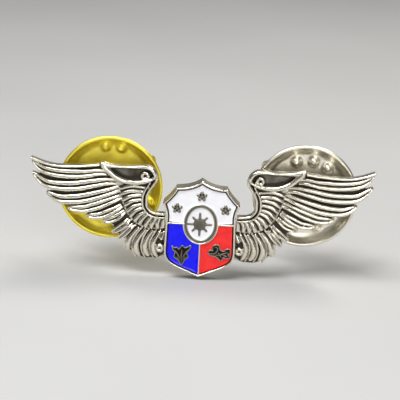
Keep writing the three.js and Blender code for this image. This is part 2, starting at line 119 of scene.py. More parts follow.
def between(line, t):
    """The point at a share t of the line's length."""
    return line[int(round(t * (len(line) - 1)))]


# %% [markdown]
# ## Sweeping with Geometry Nodes
#
# Every feather, bead and wire is a round strand along a line, thick in the middle and thin at its
# ends. One Geometry Nodes tree sweeps them all: it turns edges into curves and runs a circle along
# them, scaled at each point by the girth stored there. Its sizes are named inputs, so that the same
# tree serves fine feathers and a stout wire.


# %% The sweep tree
def sweep_tree():
    tree = bpy.data.node_groups.new("Sweep strands", "GeometryNodeTree")
    inputs = {"Geometry": "Geometry", "Sides": "Int", "Thickness": "Float", "Finish": "Material"}
    for name, kind in inputs.items():
        tree.interface.new_socket(name, in_out="INPUT", socket_type=f"NodeSocket{kind}")
    tree.interface.new_socket("Geometry", in_out="OUTPUT", socket_type="NodeSocketGeometry")
    node = {
        name: tree.nodes.new(kind)
        for name, kind in {
            "in": "NodeGroupInput",
            "curve": "GeometryNodeMeshToCurve",
            "girth": "GeometryNodeInputNamedAttribute",
            "scaled": "ShaderNodeMath",
            "circle": "GeometryNodeCurvePrimitiveCircle",
            "sweep": "GeometryNodeCurveToMesh",
            "real": "GeometryNodeRealizeInstances",
            "paint": "GeometryNodeSetMaterial",
            "out": "NodeGroupOutput",
        }.items()
    }
    node["girth"].data_type = "FLOAT"
    node["girth"].inputs["Name"].default_value = "girth"
    node["scaled"].operation = "MULTIPLY"
    node["circle"].inputs["Radius"].default_value = 1
    node["sweep"].inputs["Fill Caps"].default_value = True
    wires = [
        ("in", "Geometry", "curve", "Mesh"), ("curve", "Curve", "sweep", "Curve"),
        ("girth", "Attribute", "scaled", 0), ("in", "Thickness", "scaled", 1),
        ("scaled", 0, "sweep", "Scale"), ("in", "Sides", "circle", "Resolution"),
        ("circle", "Curve", "sweep", "Profile Curve"),
        ("sweep", "Mesh", "real", "Geometry"), ("real", "Geometry", "paint", "Geometry"),
        ("in", "Finish", "paint", "Material"), ("paint", "Geometry", "out", "Geometry"),
    ]
    for source, output, target, socket in wires:
        tree.links.new(node[source].outputs[output], node[target].inputs[socket])
    return tree


SWEEP = sweep_tree()
SWEEP_INPUT = {s.name: s.identifier for s in SWEEP.interface.items_tree if s.in_out == "INPUT"}
print("sweep tree with inputs", ", ".join(SWEEP_INPUT))


def linked(name, mesh):
    piece = bpy.data.objects.new(name, mesh)
    bpy.context.scene.collection.objects.link(piece)
    return piece


def evaluated_mesh(piece):
    """The piece's mesh with its modifiers applied. The piece itself is removed."""
    graph = bpy.context.evaluated_depsgraph_get()
    mesh = bpy.data.meshes.new_from_object(piece.evaluated_get(graph))
    bpy.data.objects.remove(piece)
    return mesh


def sweep(strands, sides=10):
    """One mesh, in millimetres, of all the strands. A strand is (points, radii, closed)."""
    points, edges, girth = [], [], []
    for line, radii, closed in strands:
        first = len(points)
        points.extend(map(tuple, line))
        girth.extend(radii)
        edges.extend((first + i, first + i + 1) for i in range(len(line) - 1))
        if closed:
            edges.append((first + len(line) - 1, first))
    mesh = bpy.data.meshes.new("strands")
    mesh.from_pydata(points, edges, [])
    mesh.attributes.new("girth", "FLOAT", "POINT").data.foreach_set("value", np.array(girth, np.float32))
    piece = linked("strands", mesh)
    nodes = piece.modifiers.new("sweep", "NODES")
    nodes.node_group = SWEEP
    nodes[SWEEP_INPUT["Sides"]] = sides
    nodes[SWEEP_INPUT["Thickness"]] = 1.0
    return evaluated_mesh(piece)


def strand(line, height, radii, shift=0.0, closed=False):
    """A strand over a flat line: at a height above the back, moved sideways by a shift."""
    flat = line + sideways(line) * np.broadcast_to(shift, len(line))[:, None]
    y = -np.broadcast_to(height, len(line))
    return np.column_stack([flat[:, 0], y, flat[:, 1]]), np.broadcast_to(radii, len(line)), closed


# %% [markdown]
# ## Casting
#
# A casting has no sharp corners: metal that meets metal runs together in a small fillet. So the
# parts of a casting are only pushed into each other, and a voxel remesh fuses them, with a light
# smoothing for the fillets. A remesh needs lengths well above a tenth of a millimetre in scene
# units, so castings are built with a millimetre as the unit and shrunk to metres at the end.


# %% Cast helpers
def prism(outline, low, high):
    """A solid with a flat outline, between two heights, as (points, faces)."""
    n = len(outline)
    points = [(x, -height, z) for height in (low, high) for x, z in outline]
    walls = [(i, (i + 1) % n, n + (i + 1) % n, n + i) for i in range(n)]
    return points, [tuple(range(n))[::-1], tuple(range(n, 2 * n))] + walls


def ring_prism(outer, inner, low, high):
    """A wall between two outlines with the same number of points."""
    n = len(outer)
    points = [(x, -height, z) for height in (low, high) for line in (outer, inner) for x, z in line]
    faces = []
    for i in range(n):
        j = (i + 1) % n
        faces.append((i, j, 2 * n + j, 2 * n + i))
        faces.append((n + j, n + i, 3 * n + i, 3 * n + j))
        faces.append((2 * n + i, 2 * n + j, 3 * n + j, 3 * n + i))
        faces.append((j, i, n + i, n + j))
    return points, faces


@contextmanager
def edited(mesh):
    """Lends out a mesh for editing and writes the edits back to it."""
    body = bmesh.new()
    body.from_mesh(mesh)
    yield body
    body.to_mesh(mesh)
    body.free()


def drop_bubbles(mesh, fewest=60):
    """Removes the tiny closed voids that a remesh can leave inside a casting."""
    with edited(mesh) as body:
        seen, bubbles = set(), []
        for start in body.verts:
            if start.index in seen:
                continue
            shell = [start]
            seen.add(start.index)
            for vert in shell:
                for edge in vert.link_edges:
                    other = edge.other_vert(vert)
                    if other.index not in seen:
                        seen.add(other.index)
                        shell.append(other)
            if len(shell) < fewest:
                bubbles.extend(shell)
        bmesh.ops.delete(body, geom=bubbles, context="VERTS")


def cast(name, solids, strands, voxel, smoothing, mirror=False):
    """Fuses solids and strands into one casting and returns its mesh in metres."""
    lump = bmesh.new()
    for points, faces in solids:
        corners = [lump.verts.new(p) for p in points]
        for face in faces:
            lump.faces.new([corners[i] for i in face])
    lump.from_mesh(sweep(strands))
    if mirror:
        bmesh.ops.scale(lump, vec=(-1, 1, 1), verts=lump.verts)
    bmesh.ops.recalc_face_normals(lump, faces=lump.faces)
    mesh = bpy.data.meshes.new(name)
    lump.to_mesh(mesh)
    lump.free()
    piece = linked(name, mesh)
    fuse = piece.modifiers.new("fuse", "REMESH")
    fuse.mode = "VOXEL"
    fuse.voxel_size = voxel
    fillet = piece.modifiers.new("fillet", "SMOOTH")
    fillet.factor = 0.5
    fillet.iterations = smoothing
    mesh = evaluated_mesh(piece)
    mesh.transform(Matrix.Scale(MM, 4))
    drop_bubbles(mesh)
    return mesh


def paint_groove_shade(mesh, rounds, depth_mm, low_mm):
    """Stores a painted-shade mask: 0 on a crest, 1 deep in a recess, where the colour is painted dark as
    shade.

    Grooves lie below their smoothed surroundings. Low ground and steep walls on the front get painted shade
    too.
    """
    co = np.empty(len(mesh.vertices) * 3, np.float32)
    mesh.vertices.foreach_get("co", co)
    co = co.reshape(-1, 3).astype(float) / MM
    edges = np.empty(len(mesh.edges) * 2, np.int32)
    mesh.edges.foreach_get("vertices", edges)
    a, b = edges.reshape(-1, 2).T
    ends, others = np.concatenate([a, b]), np.concatenate([b, a])
    count = np.maximum(np.bincount(ends, minlength=len(co)), 1)
    soft = co.copy()
    for _ in range(rounds):
        soft = np.column_stack([np.bincount(ends, soft[others, k], len(co)) / count for k in range(3)])
    normals = np.array([v.normal for v in mesh.vertices])
    below = np.einsum("ij,ij->i", soft - co, normals)
    # painted shade: the further a point lies below its surroundings, the darker its colour. Low ground and
    # steep walls get darker too.
    groove = below / depth_mm * 0.5 + 0.5
    ground = np.clip((low_mm + co[:, 1]) / 0.1, 0, 1) * np.clip(-2 * normals[:, 1] - 0.8, 0, 1)
    walls = np.clip(1 - np.abs(normals[:, 1]), 0, 1) ** 2
    groove = np.clip(groove + 0.3 * ground + 0.2 * walls, 0, 1)
    mesh.attributes.new("groove", "FLOAT", "POINT").data.foreach_set("value", groove.astype(np.float32))


def finish_piece(name, mesh, material, body, slot, *nodes, sharp=None):
    """Names the piece, paints it, hangs it on its body's empty and hides the imported nodes it stands for.
    """
    piece = linked(name, mesh)
    mesh.materials.clear()
    mesh.materials.append(material)
    mesh.shade_smooth()
    if sharp:
        mesh.set_sharp_from_angle(angle=math.radians(sharp))
    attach(piece, body)
    if nodes:
        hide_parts(*nodes)
    print(f"{name}: {len(mesh.polygons)} faces on {body}")
    return piece


# %% [markdown]
# ## Finishes
#
# A finish is a few sums on noise and on the groove attribute. Writing those sums as Python keeps
# them readable: a small class wraps a shader socket, and each + or * adds its Math node.


# %% Shader sums
class Socket:
    """A shader socket that does sums. Each operator adds a Math node to the finish."""

    def __init__(self, finish, wire):
        self.finish = finish
        self.wire = wire

    def __add__(self, other):
        return self.finish.math("ADD", self, other)

    def __sub__(self, other):
        return self.finish.math("SUBTRACT", self, other)

    def __mul__(self, other):
        return self.finish.math("MULTIPLY", self, other)

    __radd__ = __add__
    __rmul__ = __mul__


class Finish:
    """One material and its nodes."""

    def __init__(self, name):
        self.material = bpy.data.materials.new(name)
        self.material.use_nodes = True
        self.tree = self.material.node_tree
        self.tree.nodes.clear()

    def add(self, kind, settings=None, sockets=None, output=0):
        """A node with its settings and then its sockets filled in. Returns one of its outputs."""
        node = self.tree.nodes.new(kind)
        for key, value in (settings or {}).items():
            if key == "stops":
                self.set_stops(node.color_ramp, value)
            else:
                setattr(node, key, value)
        for key, value in (sockets or {}).items():
            if isinstance(value, Socket):
                self.tree.links.new(value.wire, node.inputs[key])
            else:
                node.inputs[key].default_value = value
        return Socket(self, node.outputs[output])

    @staticmethod
    def set_stops(ramp, stops):
        while len(ramp.elements) < len(stops):
            ramp.elements.new(0.5)
        for element, (position, color) in zip(ramp.elements, stops):
            element.position = position
            element.color = (*color, 1)

    def math(self, operation, a, b):
        return self.add("ShaderNodeMath", {"operation": operation}, {0: a, 1: b})

    def clamp(self, value):
        return self.add("ShaderNodeClamp", None, {"Value": value})

    def place(self):
        return self.add("ShaderNodeTexCoord", output="Object")

    def noise(self, size_mm, detail=2.0):
        """Noise with features of about this size, from 0 to 1."""
        sockets = {"Vector": self.place(), "Scale": 1 / (size_mm * MM), "Detail": detail}
        return self.add("ShaderNodeTexNoise", None, sockets)

    def attribute(self, name):
        return self.add("ShaderNodeAttribute", {"attribute_name": name}, output="Fac")

    def ramp(self, value, stops):
        return self.add("ShaderNodeValToRGB", {"stops": stops}, {"Fac": value})

    def bump(self, height, depth_mm):
        sockets = {"Height": height, "Distance": depth_mm * MM, "Strength": 1.0}
        return self.add("ShaderNodeBump", None, sockets, output="Normal")

    def surface(self, **sockets):
        """A principled shader. Its sockets are named in Python style, as in base_color."""
        named = {k.replace("_", " ").title().replace("Ior", "IOR"): v for k, v in sockets.items()}
        shader = self.add("ShaderNodeBsdfPrincipled", None, named)
        out = self.tree.nodes.new("ShaderNodeOutputMaterial")
        self.tree.links.new(shader.wire, out.inputs["Surface"])
        return self.material


# %% [markdown]
# ## Plated castings
#
# Nickel over a casting is bright and slightly warm where it is proud and polished. Its colour is
# painted nearly black as painted shade deep in the grooves, on low ground and on steep walls, and it is
# rougher there. The painted-shade attribute steers both the colour and the roughness, and a fine grain
# shows that this was once poured metal.


# %% Metal finishes
def cast_metal(name, bright, dark, polish, grain_depth, reach=1.05):
    f = Finish(name)
    groove = f.attribute("groove")
    grain = f.noise(0.12, 3)
    patches = f.noise(1.3, 2)
    # painted shade: the colour runs from the bright crest tone to nearly black where the painted-shade mask
    # is high
    depth = f.clamp(groove * 2.4 - reach + (patches - 0.5) * 0.5)
    tone = f.ramp(depth, [(0.0, bright), (0.45, tuple(0.72 * c for c in bright)), (1.0, dark)])
    rough = f.clamp(depth * 0.4 + polish + (grain - 0.5) * 0.18)
    bump = f.bump(grain + f.noise(0.4, 2) * 0.6, grain_depth)
    return f.surface(base_color=tone, metallic=1.0, roughness=rough, normal=bump)


def sheet_metal(name, bright, shade, polish, grain_mm, grain_depth):
    f = Finish(name)
    grain = f.noise(grain_mm, 3)
    patches = f.noise(1.8, 2)
    tone = f.ramp(f.clamp(patches * 1.6 - 0.3), [(0.0, shade), (0.6, bright)])
    rough = f.clamp(polish + (grain - 0.5) * 0.25)
    bump = f.bump(grain, grain_depth)
    return f.surface(base_color=tone, metallic=1.0, roughness=rough, normal=bump)


# The dark second colour of each cast metal is painted shade for the grooves.
NICKEL_CAST = cast_metal(
    "nickel over a casting", (0.83, 0.785, 0.67), (0.070, 0.062, 0.048), 0.2, 0.013
)
# The charges' metal is painted dark all over as a painted dark reflection, and its painted shade reaches
# further into it.
CHARGE_METAL = cast_metal(
    "charges with painted dark reflection", (0.34, 0.315, 0.255), (0.024, 0.021, 0.016), 0.28, 0.012, 0.5
)
BRASS = sheet_metal("stamped brass", (0.97, 0.84, 0.12), (0.84, 0.66, 0.06), 0.46, 0.10, 0.014)
NICKEL_SHEET = sheet_metal(
    "nickel on stamped sheet", (0.86, 0.82, 0.70), (0.70, 0.66, 0.54), 0.34, 0.16, 0.003
)
POST_METAL = sheet_metal("drawn post", (0.66, 0.64, 0.60), (0.5, 0.48, 0.44), 0.28, 0.08, 0.002)
SOLDER = sheet_metal("soft solder", (0.48, 0.47, 0.45), (0.30, 0.29, 0.27), 0.5, 0.18, 0.02)
SPRING_STEEL = sheet_metal(
    "spring steel", (0.52, 0.52, 0.53), (0.38, 0.38, 0.40), 0.3, 0.07, 0.002
)
print("metals:", ", ".join(material.name for material in bpy.data.materials))


# %% [markdown]
# ## Enamel
#
# Enamel is coloured glass, fired in its cell and ground almost level with the metal. It is opaque,
# very glossy, and its surface has the faint waves of something that once flowed.


# %% Enamel finish
def enamel_finish(name, color, deep):
    f = Finish(name)
    cloud = f.noise(0.9, 3)
    tone = f.ramp(f.clamp(cloud * 1.8 - 0.4), [(0.0, deep), (0.7, color)])
    waves = f.bump(f.noise(0.7, 1), 0.012)
    rough = f.clamp(f.noise(0.25, 2) * 0.2 + 0.12)
    gloss = {"specular_ior_level": 0.25, "coat_weight": 0.12, "coat_roughness": 0.05}
    return f.surface(base_color=tone, roughness=rough, normal=waves, **gloss)


WHITE_ENAMEL = enamel_finish("white enamel", (0.90, 0.90, 0.93), (0.83, 0.835, 0.87))
BLUE_ENAMEL = enamel_finish("blue enamel", (0.002, 0.002, 0.92), (0.001, 0.001, 0.74))
RED_ENAMEL = enamel_finish("red enamel", (0.92, 0.03, 0.03), (0.78, 0.016, 0.018))
print("finishes:", ", ".join(material.name for material in bpy.data.materials))


# %% [markdown]
# ## The wings
#
# A die cutter sinks a wing feather by feather. Here each flight feather is a thin blade with two
# round vanes lying along it, one on each side of the shaft, so that the shaft shows as a dark line.
# The short feathers are single strands that swell towards their tips. The shoulder is a hollow pod
# with a thick lower lip, and two beads run round the open notch beside the shield.

# %% Lines of the right-hand wing, in millimetres (x, z)
FLIGHT_FEATHERS = [
    (0.56, [(10.6, 2.0), (11.6, 2.03), (13.0, 1.8), (15.0, 1.71), (16.6, 1.83), (17.9, 2.2), (18.95, 3.05)]),
    (0.62, [(9.5, 1.02), (10.5, 1.03), (12.0, 0.76), (14.0, 0.37), (16.0, 0.3), (17.5, 0.57), (18.9, 1.68)]),
    (0.63, [(9.2, 0.25), (11.0, -0.38), (13.0, -0.98), (14.7, -1.22), (16.0, -1.15), (17.3, -0.52)]),
    (0.52, [(9.0, -0.7), (10.0, -1.12), (11.0, -1.57), (12.0, -1.95), (13.2, -2.28), (14.95, -2.27)]),
    (0.46, [(8.85, -1.7), (9.4, -2.05), (10.4, -2.6), (11.4, -3.0), (12.83, -3.06)]),
    (0.42, [(8.5, -2.35), (9.0, -2.78), (9.7, -3.27), (10.95, -3.72)]),
    (0.40, [(7.95, -3.25), (8.5, -3.82), (9.1, -4.33), (9.95, -4.87)]),
    (0.37, [(7.5, -3.85), (8.2, -4.6), (8.7, -5.1), (9.25, -5.6)]),
]
LOWER_FEATHERS = [
    [(6.85, -4.1), (7.45, -4.85), (7.85, -5.45), (8.05, -6.2), (7.97, -6.9)],
    [(6.1, -4.3), (6.65, -5.05), (7.0, -5.65), (7.15, -6.3), (7.0, -7.0), (6.62, -7.45)],
    [(5.3, -4.4), (5.8, -5.15), (6.05, -5.8), (6.15, -6.35), (6.0, -6.95), (5.6, -7.5)],
    [(4.5, -4.5), (4.9, -5.25), (5.15, -5.75), (5.2, -6.35), (5.0, -7.0), (4.65, -7.5)],
    [(4.0, -4.45), (4.2, -5.0), (4.38, -5.5)],
]
SWIRL = (4.45, -6.45)
LEADING_EDGE = smooth_line(
    [(11.45, 2.93), (13.0, 2.73), (15.0, 2.59), (16.5, 2.63), (17.8, 2.92), (19.05, 3.38)], 60
)
FEATHER_BREAK = smooth_line(
    [(9.5, 0.75), (9.3, 0.3), (9.1, -0.4), (8.95, -1.0), (8.65, -1.75), (8.3, -2.5), (7.8, -3.2),
     (7.25, -3.65), (6.6, -4.0), (5.9, -4.2), (5.1, -4.22), (4.0, -4.1)], 90
)
NOTCH = smooth_line(
    [(5.05, 1.9), (5.12, 1.45), (5.45, 0.9), (5.85, 0.3), (6.08, -0.3), (6.12, -0.95), (6.08, -1.5),
     (5.75, -2.0), (5.2, -2.32), (4.0, -2.42)], 70
)
NECK = smooth_line(
    [(5.75, 1.2), (6.05, 0.7), (6.38, 0.1), (6.55, -0.5), (6.58, -1.1), (6.48, -1.65), (6.1, -2.3),
     (5.5, -2.7), (4.8, -2.84), (4.0, -2.84)], 60
)
TRAILING_EDGE = [
    (8.8, -5.3), (8.1, -5.9), (7.95, -6.7), (7.4, -7.3), (6.5, -7.68), (5.6, -7.78), (4.6, -7.65),
    (3.8, -7.4),
]
POD = smooth_line(
    [(11.4, 3.35), (10.6, 3.13), (9.3, 3.0), (8.0, 3.0), (6.8, 3.1), (6.1, 3.08), (5.6, 2.87),
     (5.2, 2.45), (5.02, 1.95), (5.3, 1.6), (5.75, 1.3), (6.5, 1.02), (7.5, 0.93), (8.5, 1.0),
     (9.4, 1.28), (10.1, 1.75), (10.75, 2.4), (11.2, 2.85), (11.4, 3.35)], 120
)[:-1]
POD_HOLLOW = smooth_line(
    [(10.75, 2.92), (9.3, 2.77), (8.0, 2.74), (6.9, 2.84), (6.2, 2.84), (5.75, 2.62), (5.48, 2.25),
     (5.42, 1.98), (5.55, 1.8), (5.85, 1.66), (6.6, 1.48), (7.5, 1.42), (8.4, 1.48), (9.2, 1.76),
     (9.9, 2.2), (10.4, 2.6), (10.75, 2.92)], 120
)[:-1]
POD_BOSS = (6.38, 1.9)

# %% Heights on the wing and the grain of its casting
WING_VOXEL = 0.0635
WEB = 0.45
BLADE = 0.66
SHORT_STEP = 0.72
POD_FLOOR = 0.5
POD_WALL = 1.12
BEAD = 0.95
print(len(FLIGHT_FEATHERS), "flight feathers and", len(LOWER_FEATHERS), "lower ones on each wing")


def feather_width(t, root):
    """A feather's width as a share of its widest, from root (0) to its pointed tip (1)."""
    return np.minimum(1, root + (1 - root) * 2.5 * t) * np.maximum(0.03, 1 - t**7) ** 0.62


def strip(line, half):
    """The outline of a strip along a line."""
    side = sideways(line) * np.broadcast_to(half, len(line))[:, None]
    return np.vstack([line + side, (line - side)[::-1]])


def flight_feather(half, points):
    """A blade, and the two vanes that lie on it beside the shaft."""
    line = smooth_line(points, 48)
    t = np.linspace(0, 1, len(line))
    width = half * feather_width(t, 0.66)
    girth = 0.42 * width
    lie = BLADE + 0.5 * girth - 0.16 * np.exp(-((t / 0.12) ** 2))
    vanes = [strand(line, lie, girth, 0.56 * width), strand(line, lie, girth, -0.56 * width)]
    return prism(strip(line, width), 0, BLADE - 0.06), vanes


def rail(line, half, height):
    """A low wall along a line with a round top."""
    return prism(strip(line, 0.8 * half), 0, height), strand(line, height, half)


def covert(root, tip, bend, girth, samples=18):
    """A single strand that swells from its root and closes in a round tip."""
    line = smooth_line([root, (root + tip) / 2 + bend, tip], samples)
    t = np.linspace(0, 1, samples)
    return strand(line, SHORT_STEP + 0.01, girth * (0.6 + 0.4 * t) * np.sqrt(np.maximum(0.03, 1 - t**9)))


def coverts(count=11):
    """The short feathers that fan from the neck to the feather break."""
    rows = []
    for i in range(count):
        t = (i + 0.5) / count
        root, tip = between(NECK, 0.1 + 0.86 * t), between(FEATHER_BREAK, 0.02 + 0.93 * t)
        rows.append(covert(root, tip, np.array([0.16, 0.3 * (1 - t)]), 0.25 + 0.06 * t))
    return rows


def lower_feather(points):
    """A curved lobe, and the thin ridge that lies against its outer side."""
    line = smooth_line(points, 30)
    t = np.linspace(0, 1, 30)
    girth = (0.18 + 0.16 * np.clip(1.6 * t - 0.2, 0, 1)) * np.sqrt(np.maximum(0.03, 1 - t**8))
    return [strand(line, WEB + 0.14, girth), strand(line, WEB + 0.08, 0.1 * np.sqrt(1 - 0.9 * t**6), 0.44)]


def ring(centre, radius, height, girth, samples=28):
    """A closed round strand."""
    angle = np.linspace(0, 2 * math.pi, samples, endpoint=False)
    line = np.column_stack([centre[0] + radius * np.cos(angle), centre[1] + radius * np.sin(angle)])
    return strand(line, height, girth, closed=True)


def pod_parts():
    """The shoulder: a floor, a wall round its hollow with a round top, and a boss inside."""
    middle = (POD + POD_HOLLOW) / 2
    half = np.linalg.norm(POD - POD_HOLLOW, axis=1) / 2
    rim = strand(middle, POD_WALL, 0.92 * half, closed=True)
    boss = [ring(POD_BOSS, 0.34, POD_FLOOR + 0.36, 0.2), ring(POD_BOSS, 0.16, POD_FLOOR + 0.14, 0.2)]
    return [prism(POD, 0, POD_FLOOR), ring_prism(POD, POD_HOLLOW, 0, POD_WALL)], [rim] + boss


def web_outline():
    """The web under the feathers. Its outer edge crosses them short of their tips."""
    top = [
        (5.4, 2.4), (6.8, 2.9), (10.8, 2.95), (12.4, 2.7), (15.0, 2.52), (16.5, 2.57), (17.8, 2.85),
        (18.35, 2.7),
    ]
    crossing = [(17.9, 1.0), (16.4, -0.8), (14.1, -2.2), (12.1, -3.0), (10.3, -3.5), (9.45, -4.55)]
    return np.vstack([NOTCH[::-1], top, crossing, TRAILING_EDGE])


def wing(side):
    solids, strands = [], []
    for half, points in FLIGHT_FEATHERS:
        blade, vanes = flight_feather(half, points)
        solids.append(blade)
        strands += vanes
    for line, half, height in ((LEADING_EDGE, 0.14, BEAD), (NOTCH, 0.15, BEAD), (NECK, 0.12, 0.85)):
        wall, crest = rail(line, half, height)
        solids.append(wall)
        strands.append(crest)
    raised = np.vstack([NECK[::-1], [(6.2, 1.4), (9.3, 1.25)], FEATHER_BREAK])
    pod_solids, pod_strands = pod_parts()
    solids += [prism(web_outline(), 0, WEB), prism(raised, 0, SHORT_STEP - 0.08)] + pod_solids
    strands += coverts() + pod_strands
    strands += [part for points in LOWER_FEATHERS for part in lower_feather(points)]
    strands.append(ring(SWIRL, 0.3, WEB + 0.12, 0.23))
    mesh = cast(f"{side}_wing", solids, strands, WING_VOXEL, 2, mirror=SIDES[side] < 0)
    paint_groove_shade(mesh, 14, 0.07, 0.6)
    return finish_piece(f"{side}_wing_casting", mesh, NICKEL_CAST, "badge", "cast_nickel", f"{side}_wing")


# %% Cast both wings
WINGS = [wing(side) for side in SIDES]


# %% [markdown]
# ## The shield
#
# The shield is one thick casting: a floor, a raised rim, and thin walls that part the enamel cells.
# The walls have a round crest, because they are polished after the enamel is fired.

# %% Outlines of the shield
RIM_WIDTH = 0.38
FIELD_SPLIT = -3.15
CELL_FLOOR = SHIELD_TOP - 0.4
WALL_HALF = 0.06
SHIELD_VOXEL = 0.055
CHARGE_VOXEL = 0.045
OVAL_CENTRE = np.array([0.0, -3.1])
OVAL_OUTER = np.array([1.86, 2.24])
OVAL_INNER = np.array([1.5, 1.89])


def bend_line(points, count=16):
    """A Bezier curve through its first and last point, pulled towards the ones between."""
    t = np.linspace(0, 1, count, endpoint=False)[:, None]
    line = [np.array(p, float)[None] * np.ones_like(t) for p in points]
    while len(line) > 1:
        line = [a + (b - a) * t for a, b in zip(line, line[1:])]
    return line[0]


def shield_outline():
    """Ogee top with a centre point, scooped shoulders, straight sides and a pointed foot."""
    half = np.vstack([
        bend_line([(0, PEAK_Z), (1.1, 0.95), (2.8, 0.97)]),
        bend_line([(2.8, 0.97), (3.25, 0.1), (4.28, -0.87)]),
        bend_line([(4.28, -0.87), (3.95, -1.5), (3.87, -2.3)], 10),
        bend_line([(3.87, -2.3), (3.97, -6.3)], 26),
        bend_line([(3.97, -6.3), (3.97, -8.05), (2.6, -8.15), (0, FOOT_Z)], 34),
        [(0, FOOT_Z)],
    ])
    return np.vstack([half, (half * (-1, 1))[1:-1][::-1]])


def inset(outline, distance):
    """The outline moved inwards. It runs clockwise."""
    before, after = np.roll(outline, 1, axis=0), np.roll(outline, -1, axis=0)
    a, b = outline - before, after - outline
    a /= np.linalg.norm(a, axis=1)[:, None]
    b /= np.linalg.norm(b, axis=1)[:, None]
    inward = np.column_stack([a[:, 1] + b[:, 1], -(a[:, 0] + b[:, 0])])
    inward /= np.linalg.norm(inward, axis=1)[:, None]
    half_turn = np.maximum(0.5, inward[:, 0] * a[:, 1] - inward[:, 1] * a[:, 0])
    return outline + inward * (distance / half_turn)[:, None]


def ellipse(centre, radii, count=72, start=0.0, stop=2 * math.pi):
    angle = np.linspace(start, stop, count, endpoint=stop - start < 6.28)
    return centre + np.column_stack([np.cos(angle), np.sin(angle)]) * radii


def inside(points, outline):
    """Which points lie inside an outline."""
    x, z = points[:, 0][:, None], points[:, 1][:, None]
    a, b = outline, np.roll(outline, -1, axis=0)
    spans = (a[:, 1] > z) != (b[:, 1] > z)
    rise = np.where(b[:, 1] == a[:, 1], 1e-9, b[:, 1] - a[:, 1])
    crosses = x < a[:, 0] + (z - a[:, 1]) / rise * (b[:, 0] - a[:, 0])
    return (spans & crosses).sum(axis=1) % 2 == 1


def edge_distance(points, outline):
    """The distance from each point to an outline."""
    a, b = outline[None], np.roll(outline, -1, axis=0)[None]
    p = points[:, None]
    along = b - a
    t = np.clip(((p - a) * along).sum(-1) / np.maximum((along**2).sum(-1), 1e-12), 0, 1)
    return np.linalg.norm(p - a - along * t[..., None], axis=-1).min(axis=1)


SHIELD = shield_outline()
CELL_EDGE = inset(SHIELD, RIM_WIDTH)
CELL_EDGE = CELL_EDGE[edge_distance(CELL_EDGE, SHIELD) > 0.96 * RIM_WIDTH]


# %% Cast the shield
def shield_casting():
    crest = SHIELD_TOP - 0.13
    rim = strand(inset(SHIELD, 0.13), crest, 0.11, closed=True)
    walls = [
        ellipse(OVAL_CENTRE, OVAL_OUTER + WALL_HALF, 60, math.pi, 2 * math.pi - 0.01),
        even_steps(np.array([(0.0, -5.5), (0.0, -9.0)]), 40),
        even_steps(np.array([(1.7, FIELD_SPLIT), (3.7, FIELD_SPLIT)]), 24),
        even_steps(np.array([(-1.7, FIELD_SPLIT), (-3.7, FIELD_SPLIT)]), 24),
    ]
    solids = [
        prism(inset(SHIELD, 0.15), 0, CELL_FLOOR - 0.02),
        ring_prism(SHIELD, inset(SHIELD, 0.24), 0, crest - 0.06),
    ] + [prism(strip(line, WALL_HALF), CELL_FLOOR - 0.2, crest) for line in walls]
    strands = [rim] + [strand(line, crest, 0.09) for line in walls]
    mesh = cast("shield", solids, strands, SHIELD_VOXEL, 1)
    paint_groove_shade(mesh, 12, 0.08, SHIELD_TOP - 0.24)
    return finish_piece("shield_casting", mesh, NICKEL_CAST, "badge", "cast_nickel", "shield_body")


shield_casting()

# %% [markdown]
# ## The charges
#
# The small devices on the enamel are painted a dark metal: a painted dark reflection of the dim
# surroundings that polished nickel would mirror, with painted shade in their hollows. They are
# generic ones: three rosettes of five petals, a compass rose of eight rays, a leaf of three lobes,
# and a curled scroll.


# %% Petals, rays, leaf and scroll
def heading(angle):
    """The unit vector at an angle from the x axis."""
    return np.array([math.cos(angle), math.sin(angle)])


def petal(centre, angle, height, start=0.14, stop=0.64, girth=0.22, samples=14):
    """A spindle from one distance to another along a direction."""
    t = np.linspace(0, 1, samples)
    reach = start + (stop - start) * t
    line = np.array(centre) + reach[:, None] * heading(angle)
    return strand(line, height - 0.08 * t, girth * np.sqrt(np.maximum(0.06, 1 - (2 * t - 1) ** 2)))


def rosette(x, z):
    centre, height = (x, z), SHIELD_TOP - 0.2
    petals = [petal(centre, math.pi / 2 + 2 * math.pi * k / 5, height) for k in range(5)]
    return petals + [ring(centre, 0.09, height + 0.04, 0.1, 12)]


def compass_rose():
    """Eight blunt rays and a beaded hub."""
    centre, height = OVAL_CENTRE + (-0.1, -0.05), SHIELD_TOP - 0.23
    rays = []
    for k in range(8):
        reach = np.linspace(0.1, 1.38 if k % 2 == 0 else 1.2, 16)[:, None]
        line = centre + reach * heading(math.pi / 2 + math.pi * k / 4)
        rays.append(strand(line, height, np.linspace(0.19, 0.14, 16)))
    beads = [
        ring(centre + 0.42 * heading(angle), 0.09, height + 0.09, 0.1, 10)
        for angle in np.arange(8) * math.pi / 4 + 0.4
    ]
    return rays + beads + [ring(centre, radius, height, 0.16) for radius in (0.12, 0.36, 0.56)]


def vein(points, girth, height, samples=26):
    line = smooth_line(points, samples)
    t = np.linspace(0, 1, samples)
    girth = girth * np.sqrt(np.maximum(0.08, 1 - t**6)) * (0.7 + 0.3 * np.sin(math.pi * t))
    return strand(line, height, girth)


def edged(outline, height, girth, corners):
    """A plate, and a thin bead along its edge. The edge is smoothed through its corners."""
    edge = smooth_line(list(outline) + [outline[0]], corners)[:-1]
    return prism(edge, CELL_FLOOR, height - 0.01), strand(edge, height, girth, closed=True)


